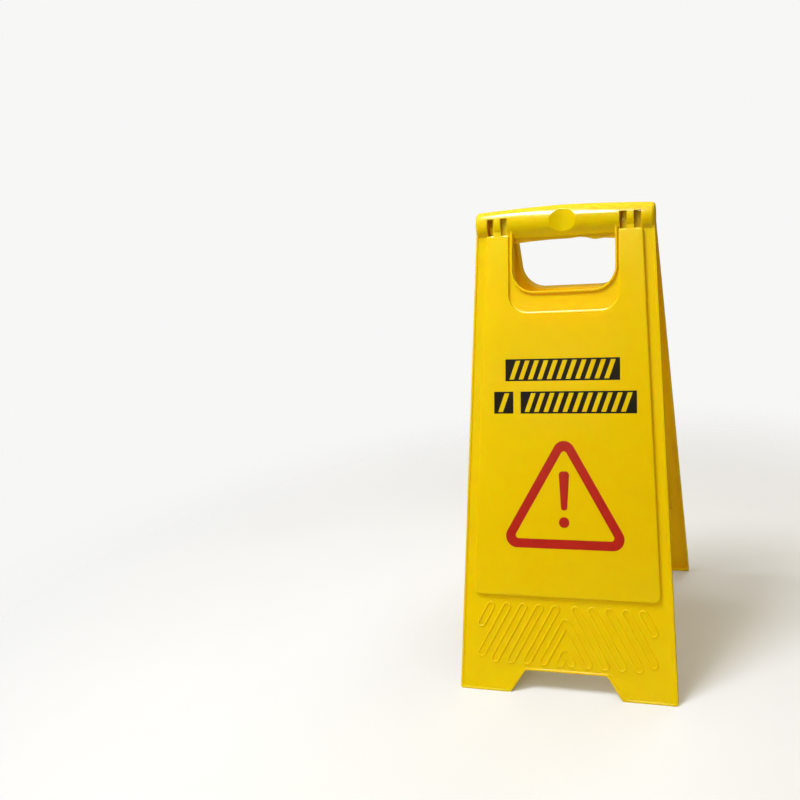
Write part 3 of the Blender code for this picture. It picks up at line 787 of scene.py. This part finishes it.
# Floor
FLOOR_RADIUS = 1.3
shape = bmesh.new()
bmesh.ops.create_circle(shape, cap_ends=True, segments=96, radius=FLOOR_RADIUS)
floor_mesh = bpy.data.meshes.new("studio_floor")
shape.to_mesh(floor_mesh)
shape.free()
floor_mesh.materials.append(floor_material())
studio_floor = bpy.data.objects.new("studio_floor", floor_mesh)
bpy.context.scene.collection.objects.link(studio_floor)
studio_floor.visible_glossy = False


# Lights

def area_light(name, aim, azimuth, elevation, distance, size, power, colour, along=(1.0, 0.0, 0.0)):
    """A soft box seen from its aim at an azimuth (0 is the front, positive to the right) and an elevation.

    Its first size runs as near as it can to the direction "along".
    """
    light = bpy.data.lights.new(name, 'AREA')
    light.shape = 'RECTANGLE'
    light.size, light.size_y = size
    light.energy = power
    light.color = colour
    lamp = bpy.data.objects.new(name, light)
    azimuth = math.radians(azimuth)
    elevation = math.radians(elevation)
    towards = Vector((
        math.cos(elevation) * math.sin(azimuth), -math.cos(elevation) * math.cos(azimuth),
        math.sin(elevation)))
    upright = towards.cross(Vector(along)).normalized()
    axes = Matrix((upright.cross(towards), upright, towards)).transposed().to_4x4()
    lamp.matrix_world = Matrix.Translation(Vector(aim) + towards * distance) @ axes
    bpy.context.scene.collection.objects.link(lamp)
    return lamp


HINGE = Vector((0.0, 0.0, AXIS_HEIGHT))
# The strip only makes the bright line on the bar, and the inner bounce stands in for light thrown back and
# forth between the panels.
key = area_light("key", HINGE, -52.0, 58.0, 1.5, (0.7, 0.5), 25.0, (1.0, 0.98, 0.88))
strip = area_light(
    "strip", HINGE, -31.1, 62.7, 1.96, (1.3, 0.10), 58.0, (1.0, 0.98, 0.95), (0.47, -0.82, -0.31))
fill = area_light("front_fill", (0.0, 0.0, 0.2), -25.0, 20.0, 3.0, (1.6, 1.0), 3.6, (0.55, 1.0, 0.90))
back = area_light("back_fill", (0.0, 0.0, 0.3), 150.0, 35.0, 3.0, (1.6, 1.2), 16.0, (1.0, 0.95, 0.85))
bounce = area_light("inner_bounce", HINGE, 0.0, -89.0, 0.13, (0.12, 0.03), 0.04, (1.0, 0.55, 0.08))
hinge_fill = area_light("hinge_fill", HINGE, -15.0, 6.0, 1.1, (0.4, 0.2), 2.2, (1.0, 0.84, 0.55))
for lamp in (key, fill, back, bounce, hinge_fill):
    lamp.visible_glossy = False
for lamp in (key, strip, fill, back, bounce, hinge_fill):
    lamp.visible_camera = False
strip.visible_diffuse = False

world = bpy.data.worlds.new("studio")
world.use_nodes = True
sky = world.node_tree.nodes
joins = world.node_tree.links
seen = sky["Background"]
seen.inputs["Color"].default_value = (0.93, 0.93, 0.925, 1.0)
seen.inputs["Strength"].default_value = 1.0
room = sky.new('ShaderNodeBackground')
room.inputs["Strength"].default_value = 1.0
direction = sky.new('ShaderNodeTexCoord')
height = sky.new('ShaderNodeSeparateXYZ')
joins.new(direction.outputs["Generated"], height.inputs[0])
ramp = sky.new('ShaderNodeValToRGB')
ramp.color_ramp.elements[0].position = 0.35
ramp.color_ramp.elements[0].color = (0.15, 0.085, 0.025, 1.0)
ramp.color_ramp.elements[1].position = 0.95
ramp.color_ramp.elements[1].color = (1.0, 0.90, 0.58, 1.0)
joins.new(height.outputs["Z"], ramp.inputs[0])
joins.new(ramp.outputs[0], room.inputs["Color"])
path = sky.new('ShaderNodeLightPath')
either = sky.new('ShaderNodeMixShader')
joins.new(path.outputs["Is Camera Ray"], either.inputs[0])
joins.new(room.outputs[0], either.inputs[1])
joins.new(seen.outputs[0], either.inputs[2])
joins.new(either.outputs[0], sky["World Output"].inputs["Surface"])
bpy.context.scene.world = world
bpy.context.scene.view_settings.view_transform = 'Standard'

# Camera, placed from the hinge
CAMERA_OFFSET = Vector((0.18625, -0.85235, 0.00694))
CAMERA_RIGHT = Vector((0.97672826, 0.2050135, -0.06301885))
CAMERA_UP = Vector((0.00657595, 0.2650581, 0.96421002))
CAMERA_LENS = 30.39
CAMERA_SENSOR = 36.0
CAMERA_SHIFT = -0.2125
lens = bpy.data.cameras.new("camera")
lens.lens = CAMERA_LENS
lens.sensor_width = CAMERA_SENSOR
lens.shift_x = CAMERA_SHIFT
camera = bpy.data.objects.new("camera", lens)
axes = Matrix((CAMERA_RIGHT, CAMERA_UP, CAMERA_RIGHT.cross(CAMERA_UP))).transposed().to_4x4()
camera.matrix_world = Matrix.Translation(HINGE + CAMERA_OFFSET) @ axes
bpy.context.scene.collection.objects.link(camera)
bpy.context.scene.camera = camera
